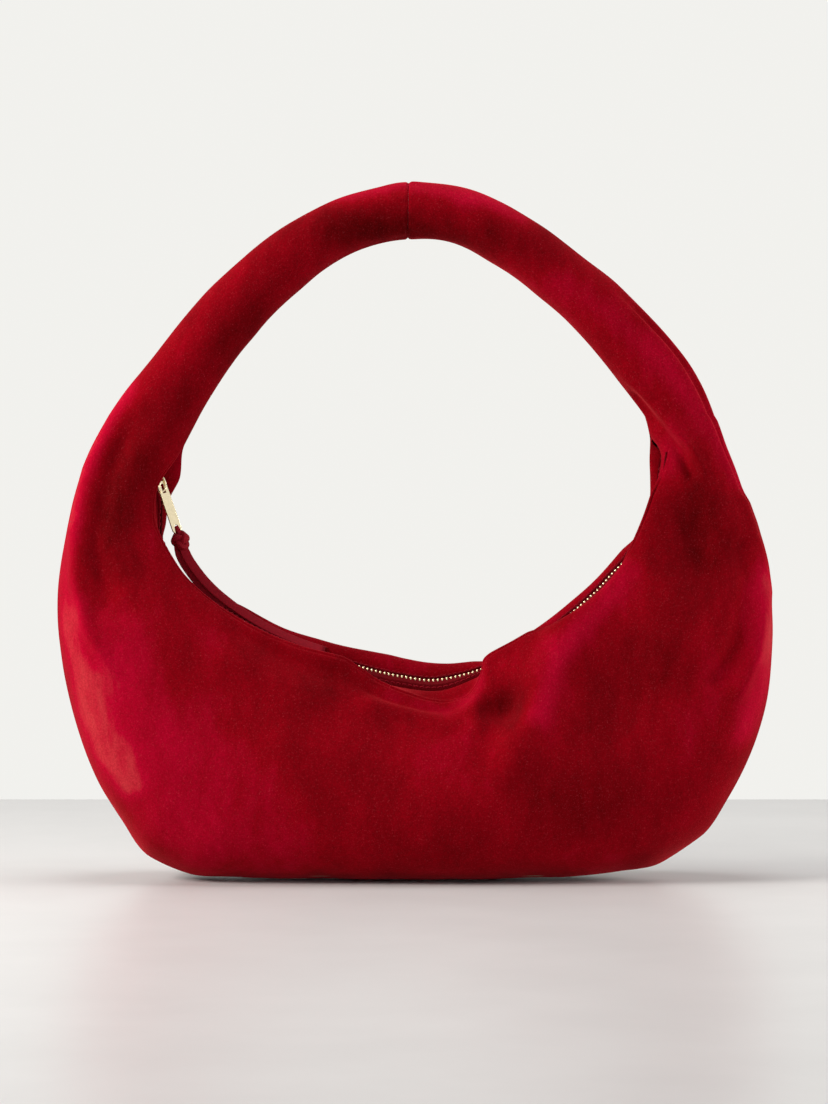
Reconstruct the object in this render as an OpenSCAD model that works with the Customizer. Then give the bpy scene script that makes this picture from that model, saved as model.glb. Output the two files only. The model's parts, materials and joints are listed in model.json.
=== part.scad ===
// Ring-shaped suede shoulder bag: a crescent body whose ends run on into a padded loop handle,
// with a curved metal zip on the inside of the ring.
// Millimetres. X runs along the bag, Y through its depth with the front at -Y, Z up from the ground.
// Angles in the ring are measured about the zip's centre, from +X towards +Z.

/* [Mouth and zip] */
// Sideways place of the zip circle's centre
mouth_x = -5.5; // [-8:0.5:0]
// Height of the zip circle's centre
mouth_z = 261; // [259:0.5:262]
// Radius of the zip circle, at the middle of the tape
zip_r = 147.5; // [146:0.5:148]
// Distance from one tooth to the next on a row
tooth_pitch = 2.5; // [2.5:0.5:5]
// Half of the distance between the two lips of the leather
lip_y = 15; // [14.5:0.5:16]

/* [Body] */
// Half depth at the widest point of the body
half_depth = 54; // [50:1:58]
// Thickness of the suede with its backing
wall = 2; // [1.6:0.2:2.4]
// Width of the seam allowance inside the rim
seam_w = 6; // [4:0.5:7]
// Length of the base board
board_l = 170; // [140:5:176]
// Width of the base board
board_w = 50; // [36:2:52]

/* [Handle] */
// Radius of the rounded ends on which the handle turns
handle_end_r = 17.5; // [16:0.5:17.5]
// Thickness of the handle's suede with its wadding
cover_wall = 2.5; // [1.5:0.5:3]

/* [Slider and pull] */
// Ring angle of the slider when the bag is closed
slider_angle = 195.3; // [195:0.1:198]
// Length of the slider along the zip
slider_l = 10; // [8:0.5:11]
// Width of the slider's plates
slider_w = 9.6; // [8.6:0.2:10]
// Tilt of the pull tab away from the zip
tab_tilt = 9.5; // [9:0.5:14]
// Length of the pull tab past its pivot
tab_l = 27.7; // [25:0.1:28]
// Width of the pull tab
tab_w = 5.4; // [5:0.2:7]
// Radius of the knot in the leather pull
knot_r = 3.8; // [3:0.1:4]

/* [Hidden] */
$fn = 48;

front = -1;
back = 1;
SUEDE = "crimson";
CLOTH = "darkred";
METAL = "goldenrod";

// Body stations: ring angle, rim radius, half depth as a share of the deepest section.
BODY = [
    [180, 170, 0.33], [190, 186, 0.39], [200, 204, 0.52], [215, 237, 0.72], [230, 269, 0.84],
    [240, 288, 0.89], [250, 280, 0.94], [270, 266, 1.00], [290, 280, 0.94], [300, 290, 0.89],
    [310, 282, 0.84], [325, 250, 0.72], [340, 214, 0.52], [350, 192, 0.39], [360, 176, 0.33]
];
// Handle stations: ring angle, inner radius, outer radius, half depth.
HANDLE = [
    [0, 136, 175, 17.5], [20, 112, 151, 17], [45, 101, 134, 16], [90, 101, 133, 15.5],
    [135, 94, 129, 16], [160, 101, 140, 17], [180, 118, 168, 17.5]
];
// Half of a body section: share of the way from lip to rim, share of the half depth.
SECTION = [
    [0.00, 0.00], [0.08, 0.38], [0.22, 0.68], [0.42, 0.94], [0.60, 1.00],
    [0.78, 0.95], [0.90, 0.80], [0.97, 0.50], [1.00, 0.00]
];
section_peak = 0.6;

body_start = 184.5;
body_end = 355.5;
body_steps = 34;
seam_gap = 0.6;
lip_r = zip_r + 0.9;
lining_wall = 0.6;
lining_gap = 2;
board_z = 3.4;
board_t = 1.5;
lining_floor = board_z + board_t + 0.3;

tape_t = 0.6;
tape_in = 2.5;
tape_out = 13.5;
tape_start = 186.5;
tape_end = 353.5;
binding_in = 9;
binding_out = 14.3;
binding_t = 1.5;
tooth_tip = 0.6;
tooth_out = 4.2;
tooth_h = 2.4;
tooth_l = 1.3;
teeth_start = 189.6;
teeth_end = 351.6;
teeth = floor((teeth_end - teeth_start) * PI / 180 * zip_r / tooth_pitch);

plate_t = 1.4;
plate_gap = 0.5;
plate_in_r = zip_r - tooth_h / 2 - plate_gap;
plate_out_r = zip_r + tooth_h / 2 + plate_gap;
slider_arc = slider_l / zip_r * 180 / PI;
web_t = 1;
bridge_foot_r = plate_in_r - plate_t - 0.1;
bridge_w = 1.6;
tab_drop = 1.15;
tab_t = 1.2;
tab_pivot_r = bridge_foot_r - tab_drop;
tab_hole_u = tab_l - 3.3;
tab_hole_r = 1.5;
loop_u = tab_l - 0.9;
loop_r = 2.4;
loop_wire_r = 0.8;
knot_u = loop_u + 5.4;
tail_w = 6;
tail_t = 1.4;
tail_start = 209;
tail_end = 250;

pivot_z = 270;
handle_steps = 14;
dome_steps = 4;
ring_sides = 20;
core_gap = 0.5;

function cubic(p0, p1, p2, p3, u) =
    p1 + 0.5 * u * (p2 - p0 + u * (2 * p0 - 5 * p1 + 4 * p2 - p3 + u * (3 * (p1 - p2) + p3 - p0)));
function span_of(list, a, i = 0) =
    i >= len(list) - 2 || a < list[i + 1][0] ? i : span_of(list, a, i + 1);
// A smooth curve through the stations of a list, read at ring angle a.
function station(list, a) =
    let (i = span_of(list, a), u = (a - list[i][0]) / (list[i + 1][0] - list[i][0]))
    cubic(list[max(i - 1, 0)], list[i], list[i + 1], list[min(i + 2, len(list) - 1)], u);

// A point of the ring at angle a and radius r, never lower than the given floor.
function ring_point(a, r, y, floor_z = -1000) =
    [mouth_x + r * cos(a), y, max(mouth_z + r * sin(a), floor_z)];

// One half of a body section, from the lip to the rim, moved inwards by inset.
function half_section(a, side, inset, rim_inset, floor_z) =
    let (s = station(BODY, a),
         r0 = lip_r + inset,
         r1 = s[1] - rim_inset,
         y0 = lip_y - 0.3 * inset,
         y1 = s[2] * half_depth - inset)
    [for (p = SECTION)
        let (y = p[0] <= section_peak ? y0 + (y1 - y0) * p[1] : y1 * p[1])
        ring_point(a, r0 + (r1 - r0) * p[0], side * max(y, seam_gap), floor_z)];

function backwards(list) = [for (i = [len(list) - 1 : -1 : 0]) list[i]];

// Joins rings of points, all of one length, into a closed solid.
module loft(rings, flip = false) {
    n = len(rings[0]);
    last = len(rings) - 1;
    sides = [for (k = [0 : last - 1], i = [0 : n - 1], half = [0, 1])
        let (j = (i + 1) % n, a = k * n + i, b = k * n + j, c = (k + 1) * n + j, d = (k + 1) * n + i)
        half == 0 ? [a, b, c] : [a, c, d]];
    first_cap = [for (i = [n - 1 : -1 : 0]) i];
    last_cap = [for (i = [0 : n - 1]) last * n + i];
    all = concat(sides, [first_cap], [last_cap]);
    polyhedron([for (r = rings) each r], flip ? [for (f = all) backwards(f)] : all, convexity = 6);
}

// A half shell of the body: front or back, outer skin at inset, thickness t.
module half_shell(side, inset, rim_inset, t, floor_z, a0, a1) {
    loft([for (k = [0 : body_steps])
        let (a = a0 + (a1 - a0) * k / body_steps)
        concat(half_section(a, side, inset, rim_inset, floor_z),
               backwards(half_section(a, side, inset + t, rim_inset + t, floor_z + t)))],
        side == back);
}

// A strip bent round the zip's centre, between two radii, two depths and two ring angles.
module ring_strip(r0, r1, y0, y1, a0, a1) {
    translate([mouth_x, 0, mouth_z])
        rotate([90, 0, 0])
            rotate([0, 0, a0])
                rotate_extrude(angle = a1 - a0, $fn = 180)
                    translate([r0, -y1])
                        square([r1 - r0, y1 - y0]);
}

// Local frame on the ring: X points away from the centre, Z along the zip.
module on_ring(a) {
    translate([mouth_x, 0, mouth_z])
        rotate([0, -a, 0])
            children();
}

module panel(side) {
    color(SUEDE)
        half_shell(side, 0, 0, wall, 0, body_start, body_end);
}

module lining(side) {
    color(CLOTH)
        half_shell(side, wall + lining_gap, seam_w + 3, lining_wall, lining_floor,
                   body_start + 0.5, body_end - 0.5);
}

module front_panel() { panel(front); }
module back_panel() { panel(back); }
module front_lining() { lining(front); }
module back_lining() { lining(back); }

// The seam allowances of the two panels, pressed together inside the rim.
module seam_welt() {
    half_t = seam_gap - 0.1;
    color(CLOTH)
        loft([for (k = [0 : body_steps])
            let (a = body_start + (body_end - body_start) * k / body_steps,
                 r1 = station(BODY, a)[1],
                 r0 = r1 - seam_w)
            [ring_point(a, r0, -half_t, 0.9), ring_point(a, r0, half_t, 0.9),
             ring_point(a, r1 - 0.3, half_t, 0.3), ring_point(a, r1 - 0.3, -half_t, 0.3)]]);
}

module base_board() {
    corner_r = 20;
    x = board_l / 2 - corner_r;
    y = board_w / 2 - corner_r;
    color("saddlebrown")
        translate([0, 0, board_z])
            linear_extrude(board_t) {
                square([board_l, 2 * y], center = true);
                square([2 * x, board_w], center = true);
                for (sx = [-1, 1], sy = [-1, 1])
                    translate([sx * x, sy * y])
                        circle(corner_r);
            }
}

// The suede patch that closes one end of the mouth, just outside the tape.
module end_tab(a0, a1) {
    color(SUEDE)
        ring_strip(lip_r + 0.8, lip_r + 2.2, -lip_y + 0.9, lip_y - 0.9, a0, a1);
}

module left_end_tab() { end_tab(body_start + 0.2, 188.1); }
module right_end_tab() { end_tab(352, body_end - 0.2); }

module tape(side) {
    y = [side * tape_in, side * tape_out];
    color(CLOTH)
        ring_strip(zip_r - tape_t / 2, zip_r + tape_t / 2, min(y), max(y), tape_start, tape_end);
}

module front_tape() { tape(front); }
module back_tape() { tape(back); }

// The turned edge of the suede, stitched on the tape.
module binding(side) {
    y = [side * binding_in, side * binding_out];
    r = zip_r - tape_t / 2 - 0.05;
    color(SUEDE)
        ring_strip(r - binding_t, r, min(y), max(y), tape_start, tape_end);
}

module front_binding() { binding(front); }
module back_binding() { binding(back); }

// One tooth: a head that reaches the middle and two legs that clamp the tape's edge.
module tooth(length) {
    h = tooth_h / 2;
    leg = tape_t / 2 + 0.06;
    root = tape_in - 0.1;
    linear_extrude(length, center = true)
        polygon([[-h, tooth_tip], [h, tooth_tip], [h, tooth_out], [leg, tooth_out],
                 [leg, root], [-leg, root], [-leg, tooth_out], [-h, tooth_out]]);
}

module on_row(side, a) {
    on_ring(a)
        translate([zip_r, 0, 0])
            mirror([0, side == front ? 1 : 0, 0])
                children();
}

module tooth_row(side) {
    step = tooth_pitch / zip_r * 180 / PI;
    stagger = side == front ? 0 : step / 2;
    color(METAL)
        for (i = [0 : teeth - 1])
            on_row(side, teeth_start + stagger + i * step)
                tooth(tooth_l);
}

module front_teeth() { tooth_row(front); }
module back_teeth() { tooth_row(back); }

module top_stop(side) {
    color(METAL)
        on_row(side, teeth_start - 0.9)
            tooth(1.6);
}

module front_top_stop() { top_stop(front); }
module back_top_stop() { top_stop(back); }

// The box that joins the two rows where the zip ends for good.
module bottom_stop() {
    color(METAL)
        ring_strip(zip_r - 1.7, zip_r + 0.7, -1.9, 1.9, teeth_end + 0.9, teeth_end + 1.9);
}

module slider_body() {
    a0 = slider_angle - slider_arc / 2;
    a1 = slider_angle + slider_arc / 2;
    web_a = 1.2;
    color(METAL)
        union() {
            ring_strip(plate_in_r - plate_t, plate_in_r, -slider_w / 2, slider_w / 2, a0, a1);
            ring_strip(plate_out_r, plate_out_r + plate_t, -slider_w / 2, slider_w / 2, a0, a1);
            ring_strip(plate_in_r - 0.2, plate_out_r + 0.2, -web_t / 2, web_t / 2, a0, a0 + web_a);
        }
}

// The arch on the slider that holds the pull tab.
module slider_bridge() {
    color(METAL)
        on_ring(slider_angle)
            translate([bridge_foot_r, 0, 0])
                rotate([90, 0, 0])
                    linear_extrude(bridge_w, center = true)
                        polygon([[0, -4.5], [-2.2, -4.5], [-3.4, -3.3], [-3.4, 3.3], [-2.2, 4.5],
                                 [0, 4.5], [0, 3.3], [-1.7, 3.3], [-2.2, 2.8], [-2.2, -2.8],
                                 [-1.7, -3.3], [0, -3.3]]);
}

// Local frame of the pull tab: Z runs down the tab from its pivot, X is its thickness.
module on_tab() {
    on_ring(slider_angle)
        translate([tab_pivot_r, 0, 0])
            rotate([0, -tab_tilt, 0])
                children();
}

module pull_tab() {
    bar = 0.65;
    slot_l = 6;
    slot_w = 2.5;
    color(METAL)
        on_tab()
            rotate([0, -90, 0])
                linear_extrude(tab_t, center = true)
                    difference() {
                        union() {
                            translate([-bar, -tab_w / 2])
                                square([tab_l + bar - 1.5, tab_w]);
                            translate([tab_l - 1.5, 0])
                                intersection() {
                                    circle(tab_w / 2);
                                    square([3, tab_w], center = true);
                                }
                        }
                        translate([bar, -slot_w / 2])
                            square([slot_l, slot_w]);
                        translate([tab_hole_u, 0])
                            circle(tab_hole_r);
                    }
}

// One tail of the leather pull: a flat strip along the zip that drifts over the back tape.
module tail(r, y_drift, end) {
    steps = 14;
    loft([for (k = [0 : steps])
        let (u = k / steps,
             a = tail_start + (end - tail_start) * u,
             y = y_drift * (3 * u * u - 2 * u * u * u),
             w = tail_w * (0.6 + 0.4 * min(1, 4 * u)))
        [ring_point(a, r - tail_t / 2, y - w / 2), ring_point(a, r - tail_t / 2, y + w / 2),
         ring_point(a, r + tail_t / 2, y + w / 2), ring_point(a, r + tail_t / 2, y - w / 2)]]);
}

module pull_strap() {
    color(CLOTH)
        union() {
            on_tab() {
                translate([0, 0, loop_u])
                    rotate([90, 0, 0])
                        rotate_extrude()
                            translate([loop_r, 0])
                                circle(loop_wire_r);
                translate([0, 0, knot_u])
                    sphere(knot_r);
            }
            tail(142.4, 4, tail_end);
            tail(140.4, 5, tail_end - 3);
        }
}

// One ring of points round the handle at ring angle a, drawn in by inset.
function handle_ring(a, inset) =
    let (s = station(HANDLE, a), mid = (s[1] + s[2]) / 2, w = (s[2] - s[1]) / 2 - inset, d = s[3] - inset)
    [for (i = [0 : ring_sides - 1])
        let (t = 360 * i / ring_sides)
        ring_point(a, mid + w * cos(t), d * sin(t))];

// The same below the pivot line, where the end closes in a half round about the pivot.
function dome_ring(a, inset, f) =
    let (s = station(HANDLE, a),
         mid = (s[1] + s[2]) / 2,
         w = ((s[2] - s[1]) / 2 - inset) * (1 - 0.25 * f),
         d = handle_end_r - inset,
         turn = 80 * f)
    [for (i = [0 : ring_sides - 1])
        let (t = 360 * i / ring_sides)
        [mouth_x + (mid + w * cos(t)) * (a > 90 ? -1 : 1),
         d * cos(turn) * sin(t),
         pivot_z - d * sin(turn)]];

// Rings from the top of the handle down to its rounded end on one side.
function handle_rings(side, inset, top_gap) =
    let (low = asin((pivot_z - mouth_z) / 150),
         a0 = 90 - side * top_gap,
         a1 = side > 0 ? low + 1.5 : 178.5 - low)
    concat(
        [for (k = [0 : handle_steps]) handle_ring(a0 + (a1 - a0) * k / handle_steps, inset)],
        [for (k = [0 : dome_steps]) dome_ring(side > 0 ? low : 180 - low, inset, k / dome_steps)]);

module handle_cover(side) {
    outer = handle_rings(side, 0, 0.05);
    inner = handle_rings(side, cover_wall, 0.05);
    color(SUEDE)
        loft(concat(backwards(outer), inner), side > 0);
}

module handle_cover_left() { handle_cover(-1); }
module handle_cover_right() { handle_cover(1); }

module handle_core() {
    inset = cover_wall + core_gap;
    left = handle_rings(-1, inset, 0);
    right = handle_rings(1, inset, 0);
    color("whitesmoke")
        loft(concat(backwards(left), [for (k = [1 : len(right) - 1]) right[k]]), true);
}

front_panel();
back_panel();
front_lining();
back_lining();
seam_welt();
base_board();
left_end_tab();
right_end_tab();
bottom_stop();
front_tape();
back_tape();
front_binding();
back_binding();
front_teeth();
back_teeth();
front_top_stop();
back_top_stop();
slider_body();
slider_bridge();
pull_tab();
pull_strap();
handle_cover_left();
handle_cover_right();
handle_core();
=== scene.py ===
"""A ring-shaped suede shoulder bag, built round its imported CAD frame. Metres, Z up, front at -Y."""
import json
import math

import bmesh
import bpy
import numpy as np
from mathutils import Matrix, Vector, noise


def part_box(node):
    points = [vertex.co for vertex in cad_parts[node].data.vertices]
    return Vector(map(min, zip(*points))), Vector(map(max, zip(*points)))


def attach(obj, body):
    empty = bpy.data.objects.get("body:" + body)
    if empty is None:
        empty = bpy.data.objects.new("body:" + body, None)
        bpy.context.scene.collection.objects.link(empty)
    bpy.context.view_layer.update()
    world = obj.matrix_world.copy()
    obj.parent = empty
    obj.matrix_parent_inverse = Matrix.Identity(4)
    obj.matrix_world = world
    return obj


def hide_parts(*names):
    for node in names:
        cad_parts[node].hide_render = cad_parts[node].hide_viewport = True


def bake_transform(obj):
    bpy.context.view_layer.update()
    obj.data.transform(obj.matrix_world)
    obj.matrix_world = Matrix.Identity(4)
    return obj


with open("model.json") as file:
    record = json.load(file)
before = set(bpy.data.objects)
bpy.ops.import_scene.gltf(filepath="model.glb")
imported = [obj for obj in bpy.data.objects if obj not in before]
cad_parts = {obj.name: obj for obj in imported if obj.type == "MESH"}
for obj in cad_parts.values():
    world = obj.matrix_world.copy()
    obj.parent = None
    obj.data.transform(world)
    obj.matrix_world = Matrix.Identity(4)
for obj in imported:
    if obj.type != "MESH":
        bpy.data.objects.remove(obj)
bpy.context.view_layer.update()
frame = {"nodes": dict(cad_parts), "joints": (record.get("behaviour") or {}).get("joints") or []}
joints = {j["name"]: j for j in frame["joints"]}
MM = 0.001

# The zip circle: its centre is the axis on which the slider travels.
CX, _, CZ = joints["zip_travel"]["pos_m"]
ZIP_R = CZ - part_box("front_tape")[0].z - 0.3 * MM
FRONT, BACK = -1, 1
SIDES = ((FRONT, "front"), (BACK, "back"))
SEAM_ANGLE = 89.2  # the seam at the top of the handle, as a ring angle
TAB_SPIN = 62.0  # how far the pull tab is turned on its own axis
TAB_DROP = -6.0  # and how far it hangs from the line between its two joints
TAB_LENGTH = 29.4
PITCH, TEETH, FIRST_TOOTH = 2.5, 166, 189.6
TOOTH = (1.7, 3.4, 1.2)  # along the ring's radius, across the tape and along the zip
SINK = {FRONT: -0.3, BACK: 0.6}  # how far each row of teeth stands off the tapes' line
STITCH_PITCH, FIRST_STITCH, STITCHED = 3.2, 191, 158

CAMERA_PLACE = (-0.0006, -1.8, 0.1842)
CAMERA_LENS, CAMERA_SENSOR = 69.2, 24
# Each light's name, place, target, size in metres, power in watts and colour.
LIGHTS = (
    ("key", (-1.35, -0.55, 0.95), (0, 0, 0.2), 0.7, 27, (1, 0.96, 0.92)),
    ("right", (1.6, -0.15, 0.45), (0, 0, 0.14), 0.7, 15, (1, 0.96, 0.93)),
    ("top", (0.0, 0.1, 1.8), (0, 0, 0.1), 1.0, 14, (1, 1, 1)),
    ("front", (-0.4, -2.6, 1.0), (0, 0, 0.2), 1.6, 7, (1, 1, 1)),
)
BACKGROUND = (0.885, 0.88, 0.85, 1)
FILL_COLOUR, FILL = (0.9, 0.92, 1, 1), 0.13
FLOOR_COLOUR = (0.66, 0.655, 0.645)
FLOOR_HALF, FLOOR_BACK = 3, 0.57


# ------------------------------------------------------------------ camera, light and floor

def look_at(obj, target):
    obj.rotation_euler = (Vector(target) - obj.location).to_track_quat("-Z", "Y").to_euler()


def area_light(name, place, target, size, energy, colour):
    data = bpy.data.lights.new(name, "AREA")
    data.shape, data.size, data.energy, data.color = "DISK", size, energy, colour
    lamp = bpy.data.objects.new(name, data)
    bpy.context.scene.collection.objects.link(lamp)
    lamp.location = place
    look_at(lamp, target)


def make_stage():
    scene = bpy.context.scene
    scene.view_settings.view_transform = "Standard"
    camera_data = bpy.data.cameras.new("camera")
    camera_data.sensor_fit = "VERTICAL"
    camera_data.sensor_height = CAMERA_SENSOR
    camera_data.lens = CAMERA_LENS
    camera = bpy.data.objects.new("camera", camera_data)
    scene.collection.objects.link(camera)
    camera.location = CAMERA_PLACE
    camera.rotation_euler = (math.pi / 2, 0, 0)
    scene.camera = camera

    for light in LIGHTS:
        area_light(*light)

    world = bpy.data.worlds.new("studio")
    scene.world = world
    world.use_nodes = True
    tree = world.node_tree
    tree.nodes.clear()
    out = tree.nodes.new("ShaderNodeOutputWorld")
    seen = tree.nodes.new("ShaderNodeBackground")
    seen.inputs["Color"].default_value = BACKGROUND
    fill = tree.nodes.new("ShaderNodeBackground")
    fill.inputs["Color"].default_value = FILL_COLOUR
    fill.inputs["Strength"].default_value = FILL
    # The camera and mirrors see the background, and everything else is lit by the weak fill.
    path = tree.nodes.new("ShaderNodeLightPath")
    either = tree.nodes.new("ShaderNodeMath")
    either.operation = "MAXIMUM"
    tree.links.new(path.outputs["Is Camera Ray"], either.inputs[0])
    tree.links.new(path.outputs["Is Glossy Ray"], either.inputs[1])
    chosen = tree.nodes.new("ShaderNodeMixShader")
    tree.links.new(either.outputs[0], chosen.inputs["Fac"])
    tree.links.new(fill.outputs[0], chosen.inputs[1])
    tree.links.new(seen.outputs[0], chosen.inputs[2])
    tree.links.new(chosen.outputs[0], out.inputs["Surface"])

    half, back = FLOOR_HALF, FLOOR_BACK
    corners = [(-half, -half, 0), (half, -half, 0), (half, back, 0), (-half, back, 0)]
    floor = mesh_object("floor", corners, [(0, 1, 2, 3)])
    stone = plain_material("floor", FLOOR_COLOUR, 0.35, grain_scale=12, variation=0.02, grainy=False)
    floor.data.materials.append(stone)


# ------------------------------------------------------------------ meshes

def mesh_object(name, points, faces):
    mesh = bpy.data.meshes.new(name)
    mesh.from_pydata([tuple(p) for p in points], [], [tuple(f) for f in faces])
    mesh.polygons.foreach_set("use_smooth", [True] * len(mesh.polygons))
    mesh.update()
    obj = bpy.data.objects.new(name, mesh)
    bpy.context.scene.collection.objects.link(obj)
    return obj


def curve(stations, x):
    """A smooth curve with no overshoot through (place, value) pairs, read at every x."""
    xs, ys = (np.array(v, float) for v in zip(*stations))
    h = np.diff(xs)
    slope = np.diff(ys) / h
    m = np.zeros(len(xs))
    same = slope[:-1] * slope[1:] > 0
    w1, w2 = 2 * h[1:] + h[:-1], h[1:] + 2 * h[:-1]
    with np.errstate(divide="ignore", invalid="ignore"):
        inner = (w1 + w2) / (w1 / slope[:-1] + w2 / slope[1:])
    m[1:-1] = np.where(same, inner, 0)
    m[0], m[-1] = slope[0], slope[-1]
    x = np.clip(x, xs[0], xs[-1])
    i = np.clip(np.searchsorted(xs, x, side="right") - 1, 0, len(h) - 1)
    t = (x - xs[i]) / h[i]
    return (
        ys[i] * (1 + 2 * t) * (1 - t) ** 2 + m[i] * h[i] * t * (1 - t) ** 2
        + ys[i + 1] * t * t * (3 - 2 * t) + m[i + 1] * h[i] * t * t * (t - 1)
    )


def smooth_step(a, b, x):
    """0 at a, 1 at b, with soft ends."""
    t = np.clip((np.asarray(x, float) - a) / (b - a), 0, 1)
    return t * t * (3 - 2 * t)


# Stations: pairs of a ring angle and a value. Ring angles are in degrees about the zip's centre,
# from +X towards +Z. Radii and depths are in mm.
RIM = [
    (0, 174), (5, 168.5), (10, 162.8), (20, 151), (30, 142), (45, 134), (60, 132), (75, 132.5),
    (90, 132.2), (97, 130.3), (105, 129.4), (120, 127), (135, 127.8), (150, 133.5), (160, 139.7),
    (165, 144), (170, 150.5), (180, 167.5), (190, 184.5), (200, 204), (210, 225.5), (220, 247),
    (230, 268.5), (235, 278), (240, 287), (245, 285), (250, 276.5), (255, 270.5), (260, 265.6),
    (265, 263.6), (270, 262.2), (275, 263), (280, 265.6), (285, 269.2), (290, 276), (295, 283),
    (300, 290), (305, 289.5), (310, 282), (320, 263), (330, 238.2), (340, 213.3), (345, 201),
    (350, 190.8), (355, 181.8), (360, 174.6),
]
# The handle's inner edge, and from 185 degrees on the crests of the two lips.
HANDLE_INNER = [
    (0, 136.6), (5, 128.8), (10, 122.4), (20, 113.4), (30, 107.3), (45, 101.6), (60, 100.5),
    (75, 103), (90, 101), (105, 98.5), (120, 95.5), (130, 94), (150, 97), (160, 101.5), (170, 108),
    (180, 117.5), (185, 123.5),
]
FRONT_LIP = HANDLE_INNER + [
    (188, 127.5), (191, 133), (194, 140.5), (197, 147), (200, 150.5), (204, 153.5), (208, 153.7),
    (214, 153.7), (222, 151.5), (233, 147), (245, 143), (255, 140.5), (260, 144.5), (264, 149.6),
    (271, 156.4), (275, 160.3), (278.5, 162.3), (281.5, 162.2), (284.2, 157.8), (286.2, 151.5),
    (287.8, 144.3), (290, 142.2), (295, 141), (299, 140.5), (302, 142), (309, 147.4), (314, 148.2),
    (320, 148.6), (324, 148.4), (329, 147), (337, 145.8), (342, 145.5), (347, 147.5),
    (350.5, 147.2), (353, 144.8), (355, 140.6), (356.5, 139.0), (358, 138), (360, 136.6),
]
BACK_LIP = HANDLE_INNER + [
    (188, 128), (195, 133.8), (199.5, 144), (204, 150.5), (207, 156), (211, 157), (216, 157),
    (220, 153.5), (225, 147), (230, 142.8), (240, 139.8), (250, 136.6), (260, 135.8), (265, 136.4),
    (270, 138.6), (275, 141.3), (280, 143.6), (285, 145.2), (290, 148), (295, 146.6), (300, 142.8),
    (310, 142.1), (320, 143.6), (328, 145.5), (333, 149), (338, 149.5), (342, 147.5), (346, 144.5),
    (350, 141.8), (355, 139.9), (357.5, 138.4), (360, 136.6),
]
# The teeth's curve leaves the circle of the CAD where the mouth is pushed out of round.
CHAIN = [
    (180, 147.5), (198, 147.5), (203, 152), (207, 156.5), (216, 157), (221, 154.5), (227, 150.5),
    (233, 148), (245, 144.5), (255, 143.6), (261, 144.8), (269, 147.5), (277, 150.6), (290, 149.5),
    (311, 146.2), (318, 147), (322, 147.3), (327, 149.1), (333, 149.6), (343, 149.6), (350, 148),
    (365, 147.5),
]
# Half of the section's depth.
HALF_DEPTH = [
    (0, 18), (20, 17), (45, 16), (90, 15.5), (135, 16), (160, 17), (180, 18), (190, 21), (200, 28),
    (215, 39), (230, 45.5), (240, 48), (250, 51), (270, 54), (290, 51), (300, 48), (310, 45.5),
    (325, 39), (340, 28), (350, 21), (360, 18),
]
# How far each lip's crest stands from the middle plane.
LIP_DEPTH = [
    (0, 0), (184.6, 0), (187, 2.5), (190, 6), (194, 11), (198, 13.5), (205, 15.5), (220, 17),
    (245, 18), (270, 18), (300, 17), (330, 16), (342, 14), (348, 10), (352, 5.5), (355.2, 0),
    (360, 0),
]
# How steeply the front tape drops away from the teeth.
LEAN = [
    (180, 0), (200, 0), (235, 0.05), (250, 0.3), (258, 0.8), (266, 0.95), (277, 0.95), (284, 0.6),
    (292, 0.2), (303, 0.35), (311, 0.8), (322, 0.8), (330, 0.3), (342, 0), (360, 0),
]
BODY_FROM, BODY_TO = 184.0, 356.0
HANDLE_OVER = 0.3  # how many degrees the handle's covers go on over the body's ends
STITCH_Y = 10.2  # where the lip's turned edge is stitched to the tape
SKIN, EDGE_SKIN = 1.6, 0.06  # the suede's thickness, and a feather edge's
HALF_GAP = 0.25  # each half keeps this far from the middle plane
LIP_TRIM, RIM_TRIM = -1.0, -0.4  # from the stations to the modelled edges
SETTLE = 1.5  # the softness of the bend where the base leaves the ground


def ring_xyz(angle, r, y):
    """Points from ring angles in degrees, radii in mm and depths in mm."""
    a = np.radians(angle)
    shape = np.broadcast(a, r, y).shape
    out = np.empty(shape + (3,))
    out[..., 0] = CX + MM * r * np.cos(a)
    out[..., 1] = MM * y
    out[..., 2] = CZ + MM * r * np.sin(a)
    return out


def body_share(angle):
    """0 in the handle, 1 in the body, for the change from a round to a full-bottomed section."""
    return smooth_step(182, 206, angle) * (1 - smooth_step(334, 358, angle))


def rows(count):
    """Shares from the lip (0) to the rim (1), closer together at both."""
    u = np.linspace(0, 1, count)
    return 0.3 * u + 0.7 * (1 - np.cos(math.pi * u)) / 2


ROWS = rows(105)
# Steps and weights that even out the lip's line for the panel below its crest.
EVEN = ((-8, 0.12), (-4, 0.22), (0, 0.32), (4, 0.22), (8, 0.12))
# The turned lip's rows, from the stitch line (1) to the crest.
ROLL = np.linspace(1, 0, 13)[:-1]


def section(angle, side, s, inset=0.0, rim_inset=0.0):
    """Radius and depth in mm at ring angles and shares s from the lip (0) to the rim (1)."""
    stations = FRONT_LIP if side == FRONT else BACK_LIP
    even = sum(w * curve(stations, (angle + d) % 360) for d, w in EVEN)
    crest = curve(stations, angle)
    inner = crest + (even - crest) * smooth_step(0, 0.2, s) * body_share(angle) + inset + LIP_TRIM
    outer = curve(RIM, angle) - rim_inset - RIM_TRIM
    deep = curve(HALF_DEPTH, angle) - inset
    lip = np.maximum(curve(LIP_DEPTH, angle) - 0.3 * inset, 0)
    full = body_share(angle)
    rho = (1 - np.cos(math.pi * s)) / 2
    round_eta = np.sin(math.pi * s)
    full_eta = np.clip(np.sin(math.pi * np.clip(s, 0, 1) ** 1.21), 0, 1) ** 0.8
    eta = round_eta + (full_eta - round_eta) * full
    hold = np.clip(1 - rho / 0.6, 0, 1) ** 1.5
    y = deep * (eta + (1 - eta) * lip / deep * hold)
    return inner + (outer - inner) * rho, y


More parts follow.
